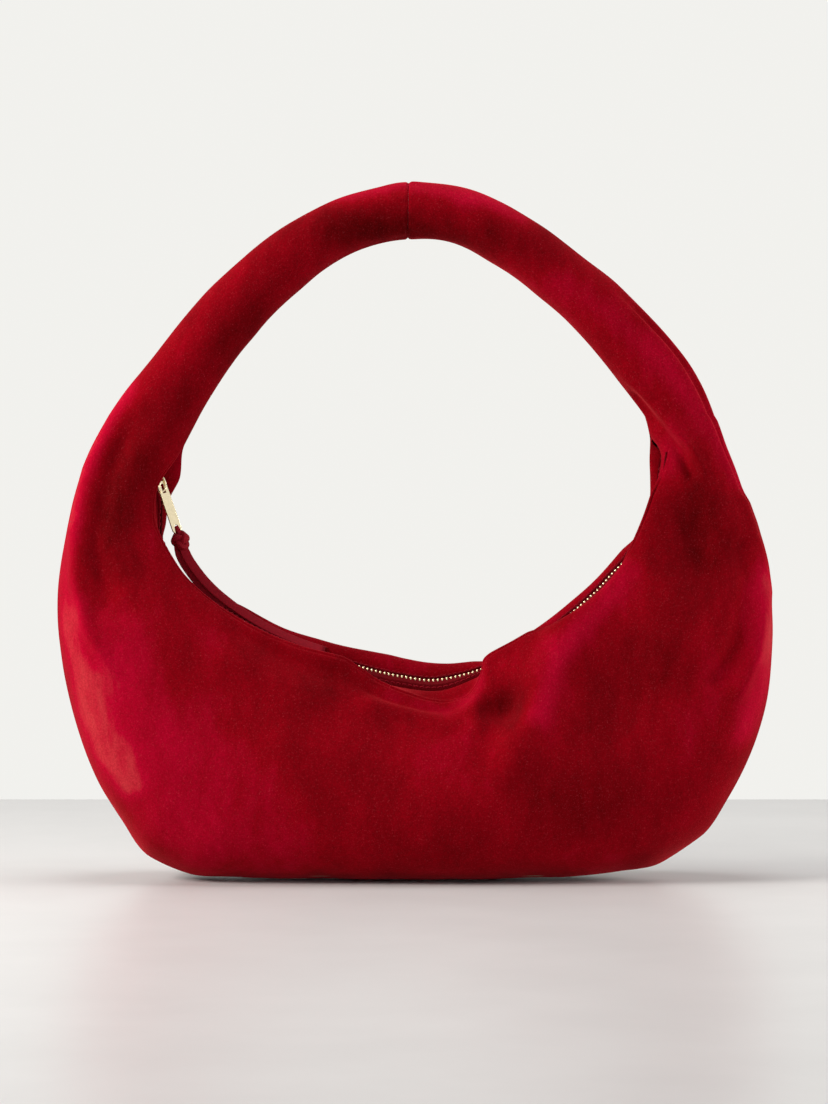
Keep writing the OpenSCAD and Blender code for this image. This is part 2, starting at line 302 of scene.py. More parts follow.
def zip_r(angle, y):
    """Radius in mm of the zip's tape at a signed depth. In front of the teeth it slopes down."""
    ahead = np.maximum(-y - 2.4, 0)
    return curve(CHAIN, angle) + curve(LEAN, angle) * ahead * ahead / (ahead + 1.5)


def roll(angle, side, t):
    """The turned lip: from its crest (t 0) down to the stitch line on the tape (t 1)."""
    inner = curve(FRONT_LIP if side == FRONT else BACK_LIP, angle) + LIP_TRIM
    lip = np.maximum(curve(LIP_DEPTH, angle), 0.5)
    shut = 1 - smooth_step(1, 7, lip)
    tape = zip_r(angle, side * STITCH_Y) - 1.0
    tape = tape + (inner + 0.8 - tape) * shut
    end = np.minimum(STITCH_Y, 0.66 * lip)
    quarter = t * math.pi / 2
    slope = smooth_step(-3, 4, inner - tape)  # a crest below the tape leads straight to it
    y = end + (lip - end) * (1 - np.sin(quarter) + slope * (np.sin(quarter) - t))
    sunk = 1 - np.cos(quarter) + slope * (np.sin(quarter) - 1 + np.cos(quarter))
    return inner + (tape - inner) * sunk, y


# ------------------------------------------------------------------ relief

def bump_at(x, z, cx, cz, rx, rz, turn=0.0):
    c, s = math.cos(math.radians(turn)), math.sin(math.radians(turn))
    u, v = (x - cx) * c + (z - cz) * s, -(x - cx) * s + (z - cz) * c
    return np.exp(-((u / rx) ** 2 + (v / rz) ** 2))


def ridge_at(x, z, path, width, fade=12.0):
    """1 on a polyline, falling off over width; it fades out at both ends."""
    best = np.full(x.shape, 1e9)
    along = np.zeros(x.shape)
    done, total = 0.0, sum(math.dist(a, b) for a, b in zip(path, path[1:]))
    for (x0, z0), (x1, z1) in zip(path, path[1:]):
        length = math.dist((x0, z0), (x1, z1))
        t = np.clip(((x - x0) * (x1 - x0) + (z - z0) * (z1 - z0)) / length ** 2, 0, 1)
        d = np.hypot(x - x0 - t * (x1 - x0), z - z0 - t * (z1 - z0))
        near = d < best
        best = np.where(near, d, best)
        along = np.where(near, done + t * length, along)
        done += length
    ends = smooth_step(0, fade, along) * smooth_step(0, fade, total - along)
    return np.exp(-((best / width) ** 2)) * ends


def wander(points, scale, seed):
    """Smooth noise, about -1 to 1, at points in metres."""
    flat = points.reshape(-1, 3) * scale
    values = [noise.noise(Vector(p) + Vector((seed, 0, 0))) for p in flat]
    return np.array(values).reshape(points.shape[:-1])


def relief(points, side, s):
    """How far the skin stands out from its even form, in mm."""
    x, z = points[..., 0] / MM, points[..., 2] / MM
    if side == FRONT:
        d = -7 * bump_at(x, z, -20, 112, 72, 55)
        d += 7.5 * ridge_at(x, z, [(122, 190), (103, 170), (76, 124), (60, 84), (50, 50)], 12, 30)
        d += -5 * bump_at(x, z, 114, 108, 20, 30)
        d += -7.5 * bump_at(x, z, 158, 188, 15, 36, 12)
        d += -9.5 * bump_at(x, z, 49, 99, 12, 11)
        d += -1.8 * ridge_at(x, z, [(48, 90), (41, 78), (34, 64)], 8)
        d += 2.6 * ridge_at(x, z, [(38, 126), (32, 112), (31, 98), (35, 82)], 6.5, 8)
        d += 2.4 * ridge_at(x, z, [(-34, 106), (-3, 98), (16, 91), (30, 93)], 5)
        d += -2.5 * ridge_at(x, z, [(-110, 150), (-70, 128), (-30, 112)], 8, 25)
        d += 2.0 * ridge_at(x, z, [(-120, 135), (-80, 112), (-40, 98)], 9, 25)
        d += -5.0 * ridge_at(x, z, [(-150, 276), (-163, 250), (-172, 228), (-178, 192), (-170, 156),
                                    (-150, 138)], 8, 40)
        d += 4.2 * ridge_at(x, z, [(-160, 276), (-170, 259), (-182, 230), (-189, 197), (-187, 167),
                                   (-181, 142), (-160, 105)], 4.5, 45)
        d += 3.4 * ridge_at(x, z, [(184, 222), (193, 195), (195, 162), (190, 130), (176, 98)], 4.5)
        d += -4.6 * ridge_at(x, z, [(181, 200), (186, 170), (180, 135), (160, 105)], 8)
        d += 2.2 * ridge_at(x, z, [(114, 288), (125, 277), (139, 261), (155, 242),
                                   (164, 226)], 2.4, 8)
        d += -3.2 * ridge_at(x, z, [(118, 276), (133, 258), (149, 238), (157, 222)], 3.4, 8)
    else:
        d = -6 * bump_at(x, z, 20, 105, 80, 50)
        d += 3 * ridge_at(x, z, [(-100, 150), (-70, 60)], 22)
        d += -4 * bump_at(x, z, -150, 180, 18, 35)
        d += -4 * bump_at(x, z, 150, 175, 18, 35)
    if side == FRONT:
        d = d + right_fold(x, z)
    d = d + 1.3 * wander(points, 16, 3.1 + side) + 0.6 * wander(points, 45, 7.7 + side)
    d = d + pleats(points, s)
    hold = smooth_step(0, 0.12, s) * smooth_step(0, 0.10, 1 - s)
    return d * hold


def ring_angle(x, z):
    """The ring angle in degrees of a place in mm."""
    return np.degrees(np.arctan2(z - CZ / MM, x - CX / MM)) % 360


def pleats(points, s):
    """Fine puckers that fan out from the seam at the top of the handle."""
    a = ring_angle(points[..., 0] / MM, points[..., 2] / MM)
    off = np.abs(a - SEAM_ANGLE)
    wave = np.sin(31 * s + 1.3 * np.sign(a - SEAM_ANGLE) + 0.16 * off)
    return 0.42 * wave * np.exp(-((off / 4.5) ** 2)) * (1 - np.exp(-((off / 0.9) ** 2)))


def brushing_and_painted_light(points, side):
    """How light the suede is, 0 dark to 1 light: random nap patches, painted light and painted shade.
    """
    x, z = points[..., 0] / MM, points[..., 2] / MM
    d = 0.5 + 0.13 * wander(points, 14, 21.3 + side) + 0.12 * wander(points, 34, 5.9 + side)
    # Painted light on the lit lower left, along both lit flanks and on the handle's lit top edge.
    rim = 0.24 * bump_at(x, z, -128, 48, 46, 50) + 0.27 * bump_at(x, z, -166, 118, 26, 40)
    rim += 0.16 * bump_at(x, z, -92, 18, 44, 16)
    rim += 0.4 * ridge_at(x, z, [(-160, 288), (-177, 255), (-190, 224), (-196, 180), (-193, 140),
                                 (-178, 90), (-150, 45)], 9)
    rim += 0.26 * ridge_at(x, z, [(-80, 372), (-54, 383), (-7, 392), (41, 382), (70, 366)], 5)
    rim += 0.2 * ridge_at(x, z, [(70, 345), (120, 308), (149, 279), (175, 239), (186, 212)], 8)
    rim += 0.38 * ridge_at(x, z, [(194, 190), (200, 150), (197, 118), (184, 85), (172, 68)], 8, 25)
    d += rim * (1 if side == FRONT else 0.6)
    if side == FRONT:
        # Painted shade in the hollows, on the shaded bands and on the handle's top; painted light on
        # the crests of the folds.
        d += -0.13 * bump_at(x, z, 36, 40, 90, 34)
        d += -0.28 * ridge_at(x, z, [(-135, 300), (-156, 262), (-168, 215), (-160, 165),
                                     (-140, 140)], 15, 60)
        d += -0.22 * ridge_at(x, z, [(-158, 190), (-150, 240), (-131, 272), (-104, 304),
                                     (-60, 345)], 15, 60)
        d += -0.26 * bump_at(x, z, -30, 366, 46, 13) - 0.2 * bump_at(x, z, 40, 360, 44, 13)
        d += 0.14 * bump_at(x, z, 143, 231, 12, 22)
        d += -0.22 * bump_at(x, z, 157, 208, 13, 22) - 0.22 * bump_at(x, z, 164, 178, 14, 28)
        d += -0.22 * bump_at(x, z, 150, 130, 20, 30) - 0.2 * bump_at(x, z, 117, 106, 22, 26)
        d += 0.32 * ridge_at(x, z, [(66, 84), (80, 128), (102, 153), (128, 182)], 8)
        d += 0.16 * ridge_at(x, z, [(-25, 107), (-3, 100), (18, 95), (34, 104), (40, 122)], 4)
        d += -0.3 * bump_at(x, z, 49, 98, 13, 12)
        d += -0.1 * bump_at(x, z, -59, 118, 38, 20)
    return np.clip(d, 0, 1)


def right_fold(x, z):
    """On the upper right a valley parts the front layer's edge from the back layer's."""
    a = ring_angle(x, z)
    r = np.hypot(x - CX / MM, z - CZ / MM)
    a = np.where(a > 180, a - 360, a)
    inside = curve(RIM, a % 360) - r
    there = smooth_step(-24, -6, a) * (1 - smooth_step(18, 34, a))
    place = 1.2 + 2.6 * smooth_step(-16, 6, a)
    valley = np.exp(-(((inside - place) / 1.3) ** 2))
    ridge = np.exp(-(((inside - place - 3.4) / 2.4) ** 2))
    return there * (1.6 * ridge - 3.0 * valley)


def unit(n):
    """Vectors of length 1."""
    return n / np.maximum(np.linalg.norm(n, axis=-1, keepdims=True), 1e-12)


def outside(grid, side):
    """The normals of one half's grid that look out of the bag."""
    return unit(np.cross(np.gradient(grid, axis=0), np.gradient(grid, axis=1))) * side


def settle(grid):
    """Rests the low parts on the ground, with a soft bend where they leave it."""
    soft = SETTLE * MM
    z = grid[..., 2]
    grid[..., 2] = np.where(z > 6 * soft, z, soft * np.log1p(np.exp(np.clip(z / soft, -30, 30))))
    return grid


def pushed(grid, side, s):
    """A half's grid with the relief of its folds."""
    d = relief(grid, side, np.broadcast_to(s, grid.shape[:-1]))
    return grid + outside(grid, side) * (d * MM)[..., None]


def half_skin(angles, side, with_roll):
    """A half's points: angles by rows, from the stitch line or the crest to the rim."""
    a = np.asarray(angles, float)[:, None]
    s = ROWS[None, :]
    r, y = section(a, side, s)
    groove = 1.3 * np.exp(-((y / 2.2) ** 2)) * (s > 0.5)
    seam = np.exp(-(((a - SEAM_ANGLE) / 0.4) ** 2))
    middle = (curve(FRONT_LIP, a) + curve(RIM, a)) / 2
    r = r - groove - seam * 0.9 * (r - middle) / 16
    y = y * (1 - 0.022 * seam)
    y = np.maximum(y, HALF_GAP)
    grid = pushed(ring_xyz(a, r, side * y), side, s)
    if with_roll:
        # The groove of the stitches that hold the turned lip.
        run = np.linalg.norm(np.diff(grid, axis=1, prepend=grid[:, :1]), axis=-1).cumsum(axis=1) / MM
        mouth = smooth_step(188, 196, a) * (1 - smooth_step(342, 350, a))
        line = np.exp(-(((run - 2.6) / 0.75) ** 2)) * mouth
        grid = grid - outside(grid, side) * (0.75 * MM * line)[..., None]
        t = ROLL[None, :]
        rr, ry = roll(a, side, t)
        lip = ring_xyz(a, rr, side * ry)
        grid = np.concatenate([lip, grid], axis=1)
    return settle(grid)


def quads(idx):
    """The faces of a grid of point numbers."""
    return np.stack([idx[:-1, :-1], idx[1:, :-1], idx[1:, 1:], idx[:-1, 1:]], axis=-1).reshape(-1, 4)


def solid_from(outer, inner, name, close_rows=False):
    """A closed solid between two grids of one size. With close_rows the rows run round a tube."""
    n, m = outer.shape[:2]
    points = np.concatenate([outer.reshape(-1, 3), inner.reshape(-1, 3)])
    idx = np.arange(n * m).reshape(n, m)
    if close_rows:
        idx = np.concatenate([idx, idx[:, :1]], axis=1)
    lay = n * m

    def rim(line):
        return np.stack([line[1:], line[:-1], line[:-1] + lay, line[1:] + lay], axis=-1)

    skins = [quads(idx), quads(idx + lay)[:, ::-1]]
    edges = [rim(idx[0][::-1]), rim(idx[-1])]
    if not close_rows:
        edges += [rim(idx[:, 0]), rim(idx[:, -1][::-1])]
    obj = mesh_object(name, points, np.concatenate(skins + edges).tolist())
    count = sum(len(k) for k in skins)
    smooth = np.zeros(len(obj.data.polygons), bool)
    smooth[:count] = True
    obj.data.polygons.foreach_set("use_smooth", smooth)
    return obj


def outward(obj):
    """Turns every face to look out of its closed solid."""
    bm = bmesh.new()
    bm.from_mesh(obj.data)
    bmesh.ops.recalc_face_normals(bm, faces=bm.faces)
    bm.to_mesh(obj.data)
    bm.free()
    return obj


def lip_weight(points):
    """How much a body's point goes with its lip: 1 at the mouth, 0 at its ends and lower down."""
    x, z = (points[:, 0] - CX) / MM, (points[:, 2] - CZ) / MM
    r = np.hypot(x, z)
    a = np.degrees(np.arctan2(z, x)) % 360
    ends = smooth_step(185, 190, a) * (1 - smooth_step(350, 355, a))
    inner, outer = curve(FRONT_LIP, a), curve(RIM, a)
    share = np.clip((r - np.maximum(inner, 147)) / (outer - inner), 0, 1)
    return (1 - smooth_step(0.02, 0.62, share)) * ends


def ride_lip(obj):
    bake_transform(obj)
    co = np.array([v.co for v in obj.data.vertices], float)
    lip_weight(co).astype(np.float32)


# ------------------------------------------------------------------ materials

def shader(name):
    """A material, its nodes and its main shader."""
    mat = bpy.data.materials.new(name)
    mat.use_nodes = True
    tree = mat.node_tree
    return mat, tree, tree.nodes["Principled BSDF"]


def add(tree, kind, **values):
    node = tree.nodes.new(kind)
    for key, value in values.items():
        if key in node.inputs:
            node.inputs[key].default_value = value
        else:
            setattr(node, key, value)
    return node


def texture(tree, scale, detail=3, rough=0.6, stretch=(1, 1, 1), turn=(0, 0, 0)):
    place = add(tree, "ShaderNodeTexCoord")
    mapping = add(tree, "ShaderNodeMapping")
    mapping.inputs["Scale"].default_value = stretch
    mapping.inputs["Rotation"].default_value = turn
    node = add(tree, "ShaderNodeTexNoise")
    node.inputs["Scale"].default_value = scale
    node.inputs["Detail"].default_value = detail
    node.inputs["Roughness"].default_value = rough
    tree.links.new(place.outputs["Object"], mapping.inputs["Vector"])
    tree.links.new(mapping.outputs[0], node.inputs["Vector"])
    return node.outputs["Fac"]


def ramp(tree, source, stops):
    node = add(tree, "ShaderNodeValToRGB")
    elements = node.color_ramp.elements
    while len(elements) < len(stops):
        elements.new(0.5)
    for element, (place, colour) in zip(elements, stops):
        element.position = place
        element.color = (*colour, 1)
    tree.links.new(source, node.inputs["Fac"])
    return node.outputs["Color"]


def mix(tree, kind, share, a, b):
    node = add(tree, "ShaderNodeMix", data_type="RGBA", blend_type=kind)
    for socket, value in ((node.inputs[0], share), (node.inputs[6], a), (node.inputs[7], b)):
        if isinstance(value, (int, float)):
            socket.default_value = value
        elif isinstance(value, tuple):
            socket.default_value = (*value, 1)
        else:
            tree.links.new(value, socket)
    return node.outputs[2]


def bump(tree, shade, height, strength, distance, before=None):
    node = add(tree, "ShaderNodeBump")
    node.inputs["Strength"].default_value = strength
    node.inputs["Distance"].default_value = distance
    tree.links.new(height, node.inputs["Height"])
    if before is not None:
        tree.links.new(before, node.inputs["Normal"])
    tree.links.new(node.outputs[0], shade.inputs["Normal"])
    return node.outputs[0]


def suede_material(name, dark, middle, light, painted_sheen, sheen, uses_painted_light=True):
    """Suede: random nap patches, and the stored painted light and shade where used, colour it from
    dark to a painted sheen.
    """
    mat, tree, shade = shader(name)
    patch = texture(tree, 30, 5, 0.62, (1, 1, 0.6), (0, 0.5, 0))
    streak = texture(tree, 110, 4, 0.65, (1, 1, 0.35), (0, 0.6, 0))
    fibre = texture(tree, 900, 3, 0.7)
    speck = texture(tree, 2600, 2, 0.6)
    # The stored map: random nap patches with painted light and painted shade.
    if uses_painted_light:
        nap_and_painted_light = add(tree, "ShaderNodeAttribute", attribute_name="nap_and_painted_light").outputs["Fac"]
    else:
        nap_and_painted_light = patch
    share = maths(tree, "MULTIPLY_ADD", patch, 0.4, maths(tree, "MULTIPLY_ADD", streak, 0.4, nap_and_painted_light))
    share = maths(tree, "MULTIPLY_ADD", share, 0.88, -0.31)
    # From dark to light, with a painted sheen, the colour of strongly lit nap, at the top stop.
    colour = ramp(tree, share, [(0.12, dark), (0.5, middle), (0.8, light), (1.0, painted_sheen)])
    grain = ramp(tree, fibre, [(0.35, (0.72, 0.6, 0.6)), (0.62, (1.16, 1.3, 1.3))])
    colour = mix(tree, "MULTIPLY", 0.6, colour, grain)
    spark = ramp(tree, texture(tree, 1500, 2, 0.6), [(0.58, (0, 0, 0)), (0.78, (0.34, 0.05, 0.06))])
    colour = mix(tree, "ADD", 0.4, colour, spark)
    tree.links.new(colour, shade.inputs["Base Color"])
    shade.inputs["Roughness"].default_value = 0.95
    shade.inputs["Specular IOR Level"].default_value = 0.02
    shade.inputs["Sheen Weight"].default_value = sheen
    shade.inputs["Sheen Roughness"].default_value = 0.38
    shade.inputs["Sheen Tint"].default_value = (1, 0.075, 0.09, 1)
    first = bump(tree, shade, fibre, 0.5, 0.0004)
    bump(tree, shade, speck, 0.5, 0.00025, first)
    return mat


def maths(tree, operation, *values):
    node = add(tree, "ShaderNodeMath", operation=operation)
    for socket, value in zip(node.inputs, values):
        if isinstance(value, (int, float)):
            socket.default_value = value
        else:
            tree.links.new(value, socket)
    return node.outputs[0]


def plain_material(name, colour, rough, metal=0.0, grain_scale=400, grain_depth=0.0001,
                   variation=0.12, gloss=0.4, grainy=True):
    """One colour with a slight grain, which also stands out a little where it is grainy."""
    mat, tree, shade = shader(name)
    grain = texture(tree, grain_scale, 3)
    dark = tuple(c * (1 - variation) for c in colour)
    light = tuple(min(1, c * (1 + variation)) for c in colour)
    tree.links.new(ramp(tree, grain, [(0.35, dark), (0.65, light)]), shade.inputs["Base Color"])
    shade.inputs["Roughness"].default_value = rough
    shade.inputs["Metallic"].default_value = metal
    shade.inputs["Specular IOR Level"].default_value = gloss
    if grainy:
        bump(tree, shade, grain, 0.4, grain_depth)
    return mat


def finish_piece(obj, material, slot, *nodes):
    """Gives a piece its material and hides the CAD nodes it stands for. The slot is not used."""
    obj.data.materials.append(material)
    if nodes:
        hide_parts(*nodes)


def tube(name, rings):
    """A closed solid through rings of points, with flat ends."""
    rings = np.asarray(rings)
    n, m = rings.shape[:2]
    idx = np.arange(n * m).reshape(n, m)
    idx = np.concatenate([idx, idx[:, :1]], axis=1)
    faces = quads(idx).tolist()
    faces += [list(range(m)), list(range((n - 1) * m, n * m))]
    obj = mesh_object(name, rings.reshape(-1, 3), faces)
    flat = np.ones(len(faces), bool)
    flat[-2:] = False
    obj.data.polygons.foreach_set("use_smooth", flat)
    return outward(obj)


def strip(wide, thick, sides=12, power=0.35):
    """The outline in metres of a strip of wide by thick mm with rounded edges; power 1 is a round."""
    t = np.linspace(0, 2 * math.pi, sides, endpoint=False)
    wide, thick = wide * MM, thick * MM
    c, s = np.cos(t), np.sin(t)
    x, y = np.sign(c) * abs(c) ** power * wide / 2, np.sign(s) * abs(s) ** power * thick / 2
    return np.stack([x, y], axis=-1)


def sweep(path, across, outline, closed=False, scale=None):
    """Rings of an outline along a path; across gives the outline's wide direction at each point."""
    path, across = np.asarray(path, float), np.asarray(across, float)
    if closed:
        run = np.roll(path, -1, 0) - np.roll(path, 1, 0)
    else:
        run = np.gradient(path, axis=0)
    run /= np.linalg.norm(run, axis=1, keepdims=True)
    across = across - (across * run).sum(1, keepdims=True) * run
    across /= np.linalg.norm(across, axis=1, keepdims=True)
    up = np.cross(run, across)
    scale = np.ones(len(path)) if scale is None else np.asarray(scale)
    return (
        path[:, None]
        + outline[None, :, :1] * across[:, None] * scale[:, None, None]
        + outline[None, :, 1:] * up[:, None] * scale[:, None, None]
    )


def ring_solid(name, rings):
    """A closed loop of rings, such as a knot's turn."""
    rings = np.asarray(rings)
    n, m = rings.shape[:2]
    idx = np.arange(n * m).reshape(n, m)
    idx = np.concatenate([idx, idx[:1]])
    idx = np.concatenate([idx, idx[:, :1]], axis=1)
    return outward(mesh_object(name, rings.reshape(-1, 3), quads(idx).tolist()))


def joined(name, objs):
    """One object from several closed solids."""
    bm = bmesh.new()
    for o in objs:
        bm.from_mesh(o.data)
    mesh = bpy.data.meshes.new(name)
    bm.to_mesh(mesh)
    bm.free()
    for o in objs:
        old = o.data
        bpy.data.objects.remove(o)
        bpy.data.meshes.remove(old)
    obj = bpy.data.objects.new(name, mesh)
    bpy.context.scene.collection.objects.link(obj)
    return obj


# ------------------------------------------------------------------ the bag's soft pieces

def skin_normals(grid, side, there):
    """Normals of a half with its roll, which has no size where the mouth is shut (there 0)."""
    flank = grid[:, len(ROLL):]
    shut = outside(flank, side)
    # The first rows lie close together. Their normals come from a run on to the other half.
    run = np.concatenate([flank[:, 4:0:-1] * (1, -1, 1), flank[:, :12]], axis=1)
    shut[:, :8] = unit(np.cross(np.gradient(flank, axis=0)[:, :8], run[:, 8:] - run[:, :-8])) * side
    shut = np.concatenate([np.repeat(shut[:, :1], len(ROLL), axis=1), shut], axis=1)
    return np.where((there > 0.25)[..., None], outside(grid, side), shut)


def tube_lean(grid):
    """Normals into a closed tube, taken over a few rows, as they lie close at its two edges."""
    across = np.roll(grid, -4, axis=1) - np.roll(grid, 4, axis=1)
    return unit(np.cross(np.gradient(grid, axis=0), across))


def mark_nap_and_painted_light(obj, nap_and_painted_light):
    """Stores the nap patches with their painted light and shade of a skin's outer grid, and of the
    inner one behind it, on its points.
    """
    nap_and_painted_light = nap_and_painted_light.reshape(-1)
    attribute = obj.data.attributes.new("nap_and_painted_light", "FLOAT", "POINT")
    attribute.data.foreach_set("value", np.concatenate([nap_and_painted_light, nap_and_painted_light]).astype(np.float32))


def shade_from(obj, lean):
    """Gives a skin the normals of the whole surface, so that no line shows where two pieces meet."""
    lean = lean.reshape(-1, 3)
    obj.data.normals_split_custom_set_from_vertices(np.concatenate([-lean, lean]).tolist())


def body_skins(suede):
    """Front and back panels. Their ends dip under the handle's thin end, so that no edge shows."""
    fine = np.array([1.5, 1.2, 0.9, 0.6, 0.3])
    main = np.arange(BODY_FROM, BODY_TO + 0.25, 0.5)
    angles = np.concatenate([BODY_FROM - fine, main, BODY_TO + fine[::-1]])
    over = HANDLE_OVER + 0.3
    under = np.maximum(BODY_FROM + over - angles, angles - BODY_TO + over)[:, None, None]
    there = (smooth_step(184.6, 188, angles) * (1 - smooth_step(352, 355.2, angles)))[:, None]
    for side, name in SIDES:
        outer = half_skin(angles, side, True)
        lean = -skin_normals(outer, side, there)[1:-1]
        middle = outer[:, -len(ROWS):].mean(axis=1, keepdims=True) * (1, 0, 1)
        outer = middle + (outer - middle) * (1 - 0.14 * np.clip(under / 1.8, 0, 1) ** 3)
        thick = np.full(outer.shape[:2], SKIN)
        thick[:, :len(ROLL)] = EDGE_SKIN + (SKIN - EDGE_SKIN) * there
        inner = outer - skin_normals(outer, side, there) * thick[..., None] * MM
        outer, inner = outer[1:-1], inner[1:-1]
        obj = outward(solid_from(outer, inner, f"body_skin_{name}"))
        mark_nap_and_painted_light(obj, brushing_and_painted_light(outer, side))
        shade_from(obj, lean)
        finish_piece(obj, suede, "suede", f"{name}_panel")
        ride_lip(obj)


def handle_skins(suede):
    """The two covers, from the seam at the top down to just over the body. They thin out there."""
    fine = np.array([0, 0.25, 0.5, 0.8, 1.2, 1.7, 2.4, 3.2])
    end = HANDLE_OVER
    right = ([-5, -4 - end], np.arange(-4, SEAM_ANGLE - 3.6, 1.0), SEAM_ANGLE - 0.003 - fine[::-1])
    left = (SEAM_ANGLE + 0.003 + fine, np.arange(94, 184.1, 1.0), [184 + end, 185])
    # The outermost angle only steers the normals and is dropped again.
    spans = (
        ("right", np.concatenate(right), slice(1, None)),
        ("left", np.concatenate(left), slice(0, -1)),
    )
    for name, wide, kept in spans:
        front = half_skin(wide % 360, FRONT, False)
        back = half_skin(wide % 360, BACK, False)
        whole = np.concatenate([front, back[:, ::-1]], axis=1)
        outer, lean = whole[kept], tube_lean(whole)[kept]
        nap_and_painted_light = np.concatenate([brushing_and_painted_light(front, FRONT), brushing_and_painted_light(back, BACK)[:, ::-1]], axis=1)[kept]
        span = wide[kept]
        from_end = np.minimum(span + 4 + end, 184 + end - span)[:, None, None]
        thick = MM * (0.04 + (SKIN - 0.04) * smooth_step(0, 4, from_end))
        obj = outward(solid_from(outer - lean * 0.03 * MM, outer + lean * thick,
                                 f"handle_skin_{name}", close_rows=True))
        mark_nap_and_painted_light(obj, nap_and_painted_light)
        shade_from(obj, lean)
        finish_piece(obj, suede, "suede", f"handle_cover_{name}")
        ride_handle(obj)


def ride_handle(obj):
    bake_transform(obj)


def handle_wadding(material):
    """The roll of wadding, a little smaller than the covers round it."""
    span = np.arange(-3, 183.1, 2.0)
    t = np.linspace(0, 2 * math.pi, 28, endpoint=False)
    a = (span % 360)[:, None]
    inner = curve(FRONT_LIP, a) + 4.4
    outer = curve(RIM, a) - 4.8
    deep = curve(HALF_DEPTH, a) - 4.2
    r = (inner + outer) / 2 - (outer - inner) / 2 * np.cos(t)
    obj = tube("handle_wadding", ring_xyz(a, r, deep * np.sin(t)))
    finish_piece(obj, material, "padding", "handle_core")
    ride_handle(obj)


def linings(material):
    """The two halves of the lining, inside the panels and following their folds."""
    angles = np.arange(BODY_FROM + 1.5, BODY_TO - 1.4, 1.0)
    a, s = angles[:, None], rows(60)[None, :]
    for side, name in SIDES:
        r, y = section(a, side, s, 4.2, 8.0)
        grid = pushed(ring_xyz(a, r, side * np.maximum(y, 0.3)), side, s)
        grid[..., 2] = np.maximum(grid[..., 2], 5.4 * MM)
        inner = grid - outside(grid, side) * 0.6 * MM
        obj = outward(solid_from(grid, inner, f"lining_{name}"))
        finish_piece(obj, material, "lining", f"{name}_lining")
        ride_lip(obj)


def rim_welt(material):
    """The rim seam's allowances, a flat strip inside the seam."""
    a = np.arange(BODY_FROM + 1, BODY_TO - 0.9, 1.0)[:, None]
    outer = curve(RIM, a) - RIM_TRIM - 3.6
    r = outer + np.array([[0, 0, -4.5, -4.5]])
    rings = ring_xyz(a, r, np.array([[-0.4, 0.4, 0.4, -0.4]]) + 0 * a)
    rings[..., 2] = np.maximum(rings[..., 2], np.array([[1.9, 1.9, 3.0, 3.0]]) * MM)
    obj = tube("rim_welt", rings)
    # Its material is the suede's darker copy, painted shade.
    finish_piece(obj, material, "suede_edge", "seam_welt")
    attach(obj, "shell")


def end_patches(material):
    """The small pieces that close the mouth's two ends, from lip to lip under the tape's end."""
    ends = (("left", np.arange(183.6, 189.1, 0.5)), ("right", np.arange(350.4, 356.5, 0.5)))
    for name, span in ends:
        a, u = span[:, None], np.linspace(0, 1, 15)[None, :]
        half = np.maximum(curve(LIP_DEPTH, a) * 0.96, 0.8)
        r = (curve(FRONT_LIP, a) + LIP_TRIM) * (1 - u) + (curve(BACK_LIP, a) + LIP_TRIM) * u
        r = np.maximum(r, zip_r(a, 0) + 1.0 - 9 * smooth_step(3.5, 1, half)) + 1.2
        y = half * (2 * u - 1)
        obj = outward(solid_from(ring_xyz(a, r, y), ring_xyz(a, r + 0.9, y), f"end_patch_{name}"))
        # Its material is the suede's darker copy, painted shade.
        finish_piece(obj, material, "suede_edge", f"{name}_end_tab")
        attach(obj, "shell")


# ------------------------------------------------------------------ the zip

def zip_tapes(tape, shaded_suede, thread):
    """The tapes with the suede's turned edges and their stitches."""
    a = np.arange(187.0, 352.1, 0.5)[:, None]
    for side, name in SIDES:
        y = np.array([[2.2, 2.5, 3.1, 3.6, 5.0, 7.0, 9.0, 11.0, 12.6]])
        thick = np.array([[0.35, 0.75, 0.75, 0.32, 0.3, 0.3, 0.3, 0.3, 0.3]])
        r0 = zip_r(a, side * y)
        top = ring_xyz(a, r0 - thick, side * y)
        low = ring_xyz(a, r0 + thick, side * y)
        obj = outward(solid_from(top, low, f"zip_tape_{name}"))
        finish_piece(obj, tape, "zip_tape", f"{name}_tape")
        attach(obj, f"{name}_lip")

        # The turned edge of the suede: a flat fold with a round nose towards the teeth.
        reach = np.minimum(curve(LIP_DEPTH, a) - 0.4, 11.2)
        nose = np.minimum(7.4, 0.62 * reach)
        u = np.linspace(0, math.pi, 7)[None, :]
        y_nose = nose + 0.75 * (1 - np.sin(u))
        y_edge = np.concatenate([reach, y_nose, reach], axis=1)
        rise = np.concatenate([0 * a - 1.95, 0 * a - 1.2 - 0.75 * np.cos(u), 0 * a - 0.45], axis=1)
        obj = tube(f"zip_edge_{name}", ring_xyz(a, zip_r(a, side * y_edge) + rise, side * y_edge))
        # The binding takes the suede's darker copy, painted shade.
        finish_piece(obj, shaded_suede, "suede", f"{name}_binding")
        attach(obj, f"{name}_lip")

        # Its line of stitches.
        parts = []
        step = math.degrees(STITCH_PITCH * MM / ZIP_R)
        outline = strip(0.55, 0.55, 6, 1.0)
        for i in range(int(STITCHED / step)):
            b = FIRST_STITCH + i * step + np.linspace(0, 0.78, 5) * step
            sink = np.array([0.25, -0.12, -0.2, -0.12, 0.25])
            y = side * np.minimum(9.3, curve(LIP_DEPTH, b) * 0.75)
            path = ring_xyz(b, zip_r(b, y) - 2.0 + sink, y)
            parts.append(sweep(path, np.tile((0, 1, 0), (5, 1)), outline))
        obj = joined(f"zip_stitches_{name}", [tube("stitch", p) for p in parts])
        finish_piece(obj, thread, "zip_tape")
        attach(obj, f"{name}_lip")


